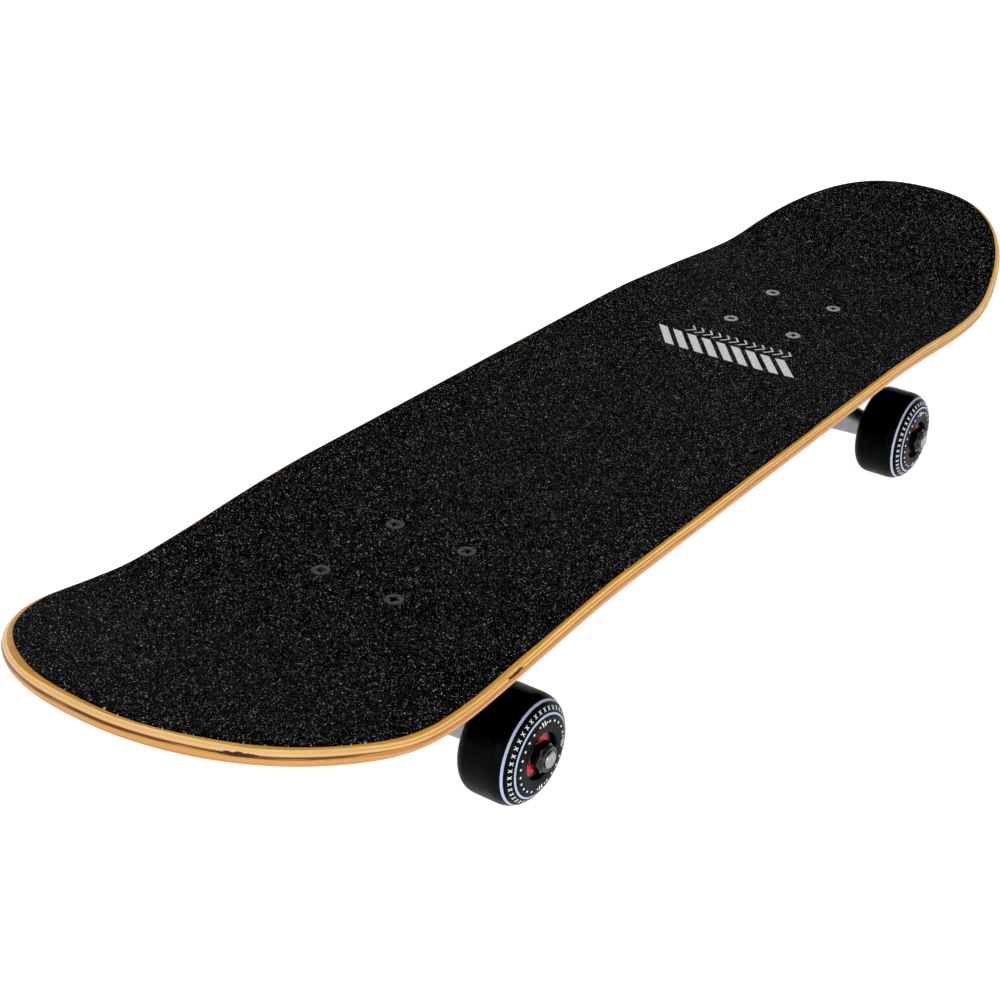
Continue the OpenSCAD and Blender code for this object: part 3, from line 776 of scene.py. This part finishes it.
def phillips_bolt(turn):
    """Flat-head bolt, top of the head at Z 0, with a tapered cross recess and a cut thread."""
    length, shank, rim_h, count = 25.4, 2.41, 0.3, 48
    cone = HEAD_R - shank
    tip = -length
    low, high = tip + 0.4, -rim_h - cone - 1.0
    profile = [(0, tip), (shank - 0.55, tip), (shank - 0.45, tip + 0.1)]
    profile += [(shank, z) for z in steps(low, high, "bolt")]
    profile += [(shank, -rim_h - cone), (HEAD_R - 0.02, -rim_h - 0.25), (HEAD_R, -rim_h - 0.12)]
    profile += [(HEAD_R - 0.5 + 0.42 * math.cos(a), -0.4 + 0.4 * math.sin(a)) for a in (0.3, 0.7, 1.1, 1.45)]
    body = turned(profile, count, threaded("bolt", low, high))
    loop = [(x, y) for x, y, _ in body[0][-count:]]
    edge_z = body[0][-1][2]
    wing, width, corner = 2.6, 0.7, 1.12
    star = []
    for k in range(4):
        a = k * math.pi / 2 + turn
        for u, v in ((wing, -width), (wing, width), (corner, corner)):
            star.append((u * math.cos(a) - v * math.sin(a), u * math.sin(a) + v * math.cos(a)))
    rings = np.concatenate([circle((0, 0), 3.6, 40), circle((0, 0), 2.95, 32)])
    flat, faces = filled([loop], [star], rings)
    away = np.linalg.norm(flat, axis=1)
    crown = [(x, y, edge_z * min(1, max(0, (d - 3.2) / 0.65))) for (x, y), d in zip(flat, away)]
    points = list(body[0][:-count]) + crown
    first = len(points) - len(crown)
    made = list(body[1]) + [tuple(int(i) + first for i in f) for f in faces]
    ring = list(range(first + count, first + count + len(star)))
    for scale, depth in ((0.94, -0.25), (0.82, -1.2), (0.6, -2.3), (0.3, -2.8)):
        deeper = list(range(len(points), len(points) + len(star)))
        points += [(x * scale, y * scale, depth) for x, y in star]
        made += bands([ring, deeper])
        ring = deeper
    made.append(tuple(ring))
    return points, made


def washer(r, hole, z0, z1, ease):
    return turned(eased([(hole, z0), (hole, z1), (r, z1), (r, z0)], ease), 72)


# ---------------------------------------------------------------- trucks
# Places from the middle of the deck's underside at a truck, and heights along the kingpin
UNDER_Z = DECK_TOP_Z - DECK_T
KINGPIN_AT, KINGPIN_LEAN = (-17, 0, -29.5), math.radians(28)
PIVOT_AT = (26, 0, -11.5)
PIVOT_RISE = math.atan2(PIVOT_AT[2] - KINGPIN_AT[2], PIVOT_AT[0] - KINGPIN_AT[0])
LOWER_CUP, SEAT, UPPER_CUP, BOSS, HEAD = -14.0, 3.5, 18.5, 20.0, 24.0
PIN_R, PIN_HOLE = 4.76, 4.8


def truck_place(truck):
    x = SHIFT_X + (TRUCK_X if truck == "front" else -TRUCK_X)
    turn = Matrix.Rotation(0 if truck == "front" else math.pi, 4, "Z")
    return Matrix.Translation(Vector((x, 0, UNDER_Z)) * MM) @ turn


def kingpin_place(truck):
    lean = Matrix.Rotation(KINGPIN_LEAN, 4, "Y")
    return truck_place(truck) @ Matrix.Translation(Vector(KINGPIN_AT) * MM) @ lean


def pivot_place(truck):
    lean = Matrix.Rotation(math.radians(90) - PIVOT_RISE, 4, "Y")
    return truck_place(truck) @ Matrix.Translation(Vector(PIVOT_AT) * MM) @ lean


def axle_place(truck):
    low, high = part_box(f"{truck}_axle")
    middle = (Vector(low) + Vector(high)) / 2
    return Matrix.Translation(middle) @ Matrix.Rotation(math.radians(-90), 4, "X")


def casting(name, node, material, body, voxel, passes):
    """A cast part: the CAD node's own solid with its edges softened."""
    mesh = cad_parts[node].data.copy()
    work = bmesh.new()
    work.from_mesh(mesh)
    bmesh.ops.remove_doubles(work, verts=work.verts, dist=1e-7)
    work.to_mesh(mesh)
    work.free()
    raw = bpy.data.objects.new(name + "_raw", mesh)
    scene.collection.objects.link(raw)
    remesh = raw.modifiers.new("remesh", "REMESH")
    remesh.mode = "VOXEL"
    remesh.voxel_size = voxel
    smooth = raw.modifiers.new("smooth", "SMOOTH")
    smooth.iterations = passes
    smooth.factor = 0.5
    graph = bpy.context.evaluated_depsgraph_get()
    done = bpy.data.meshes.new_from_object(raw.evaluated_get(graph))
    bpy.data.objects.remove(raw)
    done.name = name
    done.materials.clear()
    done.materials.append(material)
    done.shade_smooth()
    obj = bpy.data.objects.new(name, done)
    scene.collection.objects.link(obj)
    return settled(obj, body, [node])


def at_bolts(part_of, z):
    """One part at each of a truck's four bolts, part_of(k) for the bolt k."""
    placed = []
    for k, (ix, iy) in enumerate(((-1, -1), (-1, 1), (1, -1), (1, 1))):
        shift = Matrix.Translation((ix * BOLT_PITCH[0] / 2, iy * BOLT_PITCH[1] / 2, z))
        placed.append(moved(part_of(k), shift))
    return joined(*placed)


def bushing(name, profile, truck, node):
    """A bushing between the board and the hanger, baked into place."""
    place = kingpin_place(truck)
    part = turned(eased(profile, 0.5), 72)
    obj = piece(name, part, BUSHING, None, [node], place=place)
    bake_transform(obj)


def deck_nut(k):
    """The mounting nut of the bolt k, turned over, with its own turn about the bolt."""
    turn = Matrix.Rotation(math.pi, 4, "X") @ Matrix.Rotation(0.4 * k, 4, "Z")
    return moved(locknut(9.53, 2.44, 0, 4.3, 5.8, 4.5), turn)


# How far each bolt's cross is turned, in radians
BOLT_TURNS = {"front": (0.5, 1.1, 0.2, 0.75), "rear": (0.35, 0.9, 0.62, 0.1)}

for truck in TRUCKS:
    hanger_body = f"{truck}_hanger_unit"
    casting(f"{truck}_base_casting", f"{truck}_baseplate", CAST_BASE, "board", 0.0006, 5)
    casting(f"{truck}_hanger_casting", f"{truck}_hanger", CAST_HANGER, hanger_body, 0.0007, 7)
    dark = truck == "rear"
    bolts = at_bolts(lambda k: phillips_bolt(BOLT_TURNS[truck][k]), DECK_T + GRIP_T + HEAD_PROUD)
    piece(f"{truck}_deck_bolts", bolts, BOLT_BLACK if dark else BOLT_NICKEL, "board",
          [f"{truck}_mount_bolts"], place=truck_place(truck))
    nuts = at_bolts(deck_nut, -5.5)
    piece(f"{truck}_deck_nuts", nuts, BLACK_OXIDE, "board",
          [f"{truck}_mount_nuts"], place=truck_place(truck))

    low, high = -24.5, -5.0
    profile = [(0, low), (4.0, low), (4.3, low + 0.25)]
    profile += [(PIN_R, z) for z in steps(low + 0.5, high, "axle")]
    profile += [(PIN_R, HEAD), (7.0, HEAD + 0.01), (7.0, HEAD + 3.4), (6.4, HEAD + 4.0), (0, HEAD + 4.0)]
    pin = turned(profile, 64, threaded("axle", low + 0.5, high))
    piece(f"{truck}_kingpin_bolt", pin, ZINC, "board", [f"{truck}_kingpin"],
          place=kingpin_place(truck))
    nut = flipped(locknut(14.3, PIN_HOLE, 15.5, 21.6, 23.0, 6.4))
    piece(f"{truck}_kingpin_locknut", nut, ZINC, "board", [f"{truck}_kingpin_nut"],
          place=kingpin_place(truck))
    cup = [(PIN_HOLE, BOSS), (PIN_HOLE, UPPER_CUP), (12.03, UPPER_CUP), (12.03, 17.0), (12.6, 17.0)]
    cup += [(13.0, 17.4), (13.0, BOSS)]
    piece(f"{truck}_upper_cup", turned(eased(cup, 0.3), 72), ZINC, "board",
          [f"{truck}_cup_washer_upper"], place=kingpin_place(truck))
    piece(f"{truck}_lower_cup", washer(10.5, PIN_HOLE, -15.5, LOWER_CUP, 0.3), ZINC, "board",
          [f"{truck}_cup_washer_lower"], place=kingpin_place(truck))
    barrel = [(5.0, UPPER_CUP), (5.0, SEAT), (11.4, SEAT), (11.4, SEAT + 1.6)]
    barrel += [(11.4 + 0.6 * math.sin(math.pi * u / 10), SEAT + 1.6 + 11.8 * u / 10) for u in range(1, 10)]
    barrel += [(11.4, 16.9), (11.4, UPPER_CUP)]
    bushing(f"{truck}_barrel_bushing", barrel, truck, f"{truck}_bushing_upper")
    cone = [(5.0, -SEAT), (5.0, LOWER_CUP), (9.5, LOWER_CUP), (9.5, -12.5), (11.8, -6.0), (11.8, -SEAT)]
    bushing(f"{truck}_cone_bushing", cone, truck, f"{truck}_bushing_lower")
    socket_r = 5.56
    cup = [(0, 6.37), (8.47, 6.37), (8.47, -7.0), (socket_r, -7.0)]
    cup += [(socket_r * math.cos(a), socket_r * math.sin(a)) for a in np.radians(np.linspace(0, 85, 12))]
    cup += [(0, socket_r)]
    piece(f"{truck}_pivot_bush", turned(cup, 64), PIVOT, "board", [f"{truck}_pivot_cup"],
          place=pivot_place(truck))

    low, high = 84.0, 95.4
    rows = [(AXLE_R, z) for z in steps(low, high, "axle")] + [(3.45, 95.95), (3.3, 96.0)]
    rows += [(0.9, 96.0), (0.0, 95.5)]
    tail = [(r, -z) for r, z in reversed(rows)]

    def both_ends(r, z, a, cut=threaded("axle", low, high)):
        return cut(r, abs(z), a)

    rod = turned([*tail, (AXLE_R, -60), (AXLE_R, 60), *rows], 64, both_ends)
    piece(f"{truck}_axle_rod", rod, AXLE_STEEL, hanger_body, [f"{truck}_axle"],
          place=axle_place(truck))
    nut = locknut(12.7, 4.0, 88.8, 93.4, 95.0, 6.1)
    piece(f"{truck}_axle_locknuts", joined(nut, flipped(nut)), BLACK_OXIDE, hanger_body,
          [f"{truck}_axle_nuts"], place=axle_place(truck))
    rings = joined(*(washer(5.9, 4.0, z, z + 0.8, 0.15) for z in (63.2, 88.0, -64.0, -88.8)))
    piece(f"{truck}_thrust_washers", rings, ZINC, hanger_body,
          [f"{truck}_speed_rings"], place=axle_place(truck))

# ---------------------------------------------------------------- wheels
WHEEL_R, HALF_W = 26.5, 15.0
BORE_R = 11.0
# The rounded corners of the tread, outer and inner, and their middles in the profile
OUT_R, IN_R = 11.0, 6.6
OUT_C = (WHEEL_R - OUT_R, HALF_W - OUT_R)
IN_C = (WHEEL_R - IN_R, IN_R - HALF_W)


def wheel_place(truck, side):
    """Wheel frame: Z outwards along the axle, X forwards."""
    low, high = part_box(f"{truck}_{side}_wheel")
    sign = 1 if side == "left" else -1
    turn = Matrix(((1, 0, 0), (0, 0, sign), (0, -sign, 0))).to_4x4()
    return Matrix.Translation((Vector(low) + Vector(high)) / 2) @ turn


def arc(centre, radius, start, end, count):
    angles = np.radians(np.linspace(start, end, count))
    return [(centre[0] + radius * math.cos(a), centre[1] + radius * math.sin(a)) for a in angles]


def wheel_profile():
    bore = [(11.8, 15.0), (11.6, 14.95), (BORE_R, 14.2), (BORE_R, 5.0), (9.4, 5.0)]
    bore += [(9.4, -5.0), (BORE_R, -5.0), (BORE_R, -14.2), (11.6, -14.95), (11.8, -15.0)]
    return [*bore, *arc(IN_C, IN_R, -90, 0, 15), *arc(OUT_C, OUT_R, 0, 90, 25)]


def on_face(t, lift):
    """(radius, height) at t mm outwards along the wheel's outer face from the bore, lift above it."""
    bend = max(0.0, t - (OUT_C[0] - BORE_R)) / OUT_R
    if bend == 0:
        return BORE_R + t, HALF_W + lift
    r = OUT_R + lift
    return OUT_C[0] + r * math.sin(bend), OUT_C[1] + r * math.cos(bend)


INK_TOP, INK_UNDER = 0.035, -0.05
WHEEL_POINTS = 160


def printed_ring(t0, t1):
    span = np.linspace(t0, t1, 7)
    loop = [on_face(t, INK_TOP) for t in span] + [on_face(t, INK_UNDER) for t in span[::-1]]
    return turned(loop, WHEEL_POINTS)


def stroke(start, end, wide, lift=INK_TOP):
    """A printed bar between two (t, mm along the ring) places, in enough pieces to follow the face."""
    points = []
    (t0, u0), (t1, u1) = start, end
    along = Vector((t1 - t0, u1 - u0)).normalized()
    across = Vector((-along.y, along.x)) * wide / 2
    count = 5
    for k in range(count):
        f = k / (count - 1)
        for sign in (-1, 1):
            for up in (lift, INK_UNDER):
                t = t0 + (t1 - t0) * f + sign * across.x
                u = u0 + (u1 - u0) * f + sign * across.y
                r, z = on_face(t, up)
                a = u / on_face((t0 + t1) / 2, 0)[0]
                points.append((r * math.cos(a), r * math.sin(a), z))
    faces = []
    for k in range(count - 1):
        i, j = 4 * k, 4 * k + 4
        faces += [(i, i + 2, j + 2, j), (i + 1, j + 1, j + 3, i + 3)]
        faces += [(i, j, j + 1, i + 1), (i + 2, i + 3, j + 3, j + 2)]
    last = 4 * count - 4
    faces += [(0, 1, 3, 2), (last, last + 2, last + 3, last + 1)]
    return points, faces


def dot(t, angle, radius):
    """A printed dot of twelve corners."""
    count = 12
    points = []
    for up in (0.04, INK_UNDER):
        for k in range(count):
            b = 2 * math.pi * k / count
            r, z = on_face(t + radius * math.cos(b), up)
            a = angle + radius * math.sin(b) / r
            points.append((r * math.cos(a), r * math.sin(a), z))
    upper, lower = list(range(count)), list(range(count, 2 * count))
    return points, [tuple(upper), tuple(lower[::-1])] + bands([upper, lower])


def turned_to(part, degrees):
    return moved(part, Matrix.Rotation(math.radians(degrees), 4, "Z"))


CROSS_COUNT, DOT_COUNT = 40, 25
# Plain size marks take the place of some dots: their angles, and the room for each, in degrees
BADGES, BADGE_ROOM = (89, 357, 272), 14
DOTS_T = 5.65


def printed_marks():
    """A ring of crosses, a ring of dots and the plain size marks on a wheel's outer face."""
    parts = []
    # The second stroke of a cross is a little higher, so that the two don't share a face
    cross = joined(stroke((10.55, -0.72), (12.45, 0.72), 0.38),
                   stroke((10.55, 0.72), (12.45, -0.72), 0.38, 0.042))
    for k in range(CROSS_COUNT):
        parts.append(turned_to(cross, 360 * k / CROSS_COUNT + 8.5))
    for k in range(DOT_COUNT):
        angle = 360 * k / DOT_COUNT - 0.2
        if all(abs((angle - badge + 180) % 360 - 180) > BADGE_ROOM for badge in BADGES):
            parts.append(dot(DOTS_T, math.radians(angle), 0.6))
    # A size mark is two slanted bars between two dots
    for badge in BADGES:
        bars = [stroke((4.4, u - 0.5), (7.0, u + 0.5), 0.75) for u in (-1.15, 0.55)]
        parts.append(turned_to(joined(*bars), badge))
        parts += [turned_to(dot(DOTS_T, math.radians(d), 0.5), badge) for d in (-9.5, 9.5)]
    return joined(*parts)


def shields():
    """Two pressed ring shields with a rolled inner lip."""
    ring = [(6.3, 11.1), (9.6, 11.1), (9.6, 11.4), (9.3, 11.5), (8.9, 11.5), (8.7, 11.38), (6.9, 11.38)]
    ring += [(6.7, 11.5), (6.35, 11.5)]
    half = turned(ring, 96)
    return joined(half, flipped(half))


BEARING_METALS = {"outer": BEARING, "inner": BEARING, "balls": BEARING, "spacer": AXLE_STEEL}

for truck in TRUCKS:
    for side in SIDES:
        wheel = f"{truck}_{side}"
        body = f"{wheel}_wheel_unit"
        place = wheel_place(truck, side)
        piece(f"{wheel}_tyre", turned(wheel_profile(), WHEEL_POINTS), TYRE, body,
              [f"{wheel}_wheel"], place=place, sharp=50)
        rings = joined(printed_ring(8.35, 9.35), printed_ring(14.55, 15.8))
        piece(f"{wheel}_printed_rings", rings, RING_INK, body, place=place)
        piece(f"{wheel}_printed_marks", printed_marks(), MARK_INK, body, place=place)
        piece(f"{wheel}_ring_shields", shields(), SHIELD, body,
              [f"{wheel}_bearing_shields"], place=place)
        for part_name, material in BEARING_METALS.items():
            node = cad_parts[f"{wheel}_bearing_{part_name}"]
            for slot in node.material_slots:
                slot.material = material

# ---------------------------------------------------------------- floor, light, camera
floor_shader = Shader("floor_paper", Roughness=0.9, Specular_IOR_Level=0.1)
floor_tone = floor_shader.noise(floor_shader.object_mm(), 0.004, 3)
floor_shader.set("Base Color", floor_shader.ramp(floor_tone, [(0.3, 0.53), (0.7, 0.56)]))
floor_shader.set("Emission Color", (1, 1, 1, 1))
floor_shader.set("Emission Strength", 0.9)
reach = 9.0
corners = [(-reach, -reach, 0), (reach, -reach, 0), (reach, reach, 0), (-reach, reach, 0)]
floor_mesh = bpy.data.meshes.new("floor")
floor_mesh.from_pydata(corners, [], [(0, 1, 2, 3)])
floor_mesh.materials.append(floor_shader.material)
floor = bpy.data.objects.new("floor", floor_mesh)
scene.collection.objects.link(floor)
floor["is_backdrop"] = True


def softbox(name, place, target, size, watts):
    """A rectangular area light at place, aimed at target."""
    data = bpy.data.lights.new(name, "AREA")
    data.shape = "RECTANGLE"
    data.size, data.size_y = size
    data.energy = watts
    obj = bpy.data.objects.new(name, data)
    scene.collection.objects.link(obj)
    obj.location = place
    obj.rotation_euler = (Vector(target) - Vector(place)).to_track_quat("-Z", "Y").to_euler()


softbox("top_box", (0.3, 0.6, 2.4), (0, 0, 0.08), (2.0, 1.6), 26)
softbox("front_box", (-1.1, -2.0, 0.6), (-0.1, 0, 0.05), (0.9, 1.0), 13)
softbox("tail_box", (-2.4, -0.25, 0.9), (-0.2, 0, 0.05), (0.7, 0.5), 8)

# A white room: bright at the horizon so that it meets the floor, dimmer overhead
world = bpy.data.worlds.new("studio")
world.use_nodes = True
sky = world.node_tree.nodes
height = sky.new("ShaderNodeSeparateXYZ")
fall = sky.new("ShaderNodeMapRange")
fall.interpolation_type = "SMOOTHSTEP"
for socket, value in (("From Min", 0.12), ("From Max", 0.55), ("To Min", 1.0), ("To Max", 0.34)):
    fall.inputs[socket].default_value = value
join = world.node_tree.links.new
join(sky.new("ShaderNodeTexCoord").outputs["Generated"], height.inputs[0])
join(height.outputs["Z"], fall.inputs["Value"])
join(fall.outputs[0], sky["Background"].inputs["Strength"])
sky["Background"].inputs["Color"].default_value = (1, 1, 1, 1)
scene.world = world
scene.view_settings.view_transform = "Standard"
# Printing blacks, as in a catalogue picture
scene.view_settings.use_curve_mapping = True
scene.view_settings.curve_mapping.black_level = (0.006, 0.006, 0.006)

# The camera as solved from the bolts, the deck's outline and the wheels
CAMERA_AT, LENS = (-0.76717, -0.43889, 0.50021), 66.02
AZIMUTH, ELEVATION, ROLL = (math.radians(v) for v in (-56.126, 27.851, 2.158))
level = math.cos(ELEVATION)
back = Vector((math.sin(AZIMUTH) * level, -math.cos(AZIMUTH) * level, math.sin(ELEVATION)))
right = Vector((0, 0, 1)).cross(back).normalized()
up = back.cross(right)
camera_x = math.cos(ROLL) * right + math.sin(ROLL) * up
camera_y = -math.sin(ROLL) * right + math.cos(ROLL) * up
camera_data = bpy.data.cameras.new("camera")
camera_data.sensor_width = 36
camera_data.lens = LENS
camera = bpy.data.objects.new("camera", camera_data)
aim = Matrix((camera_x, camera_y, back)).transposed().to_4x4()
camera.matrix_world = Matrix.Translation(CAMERA_AT) @ aim
scene.collection.objects.link(camera)
scene.camera = camera

low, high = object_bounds()
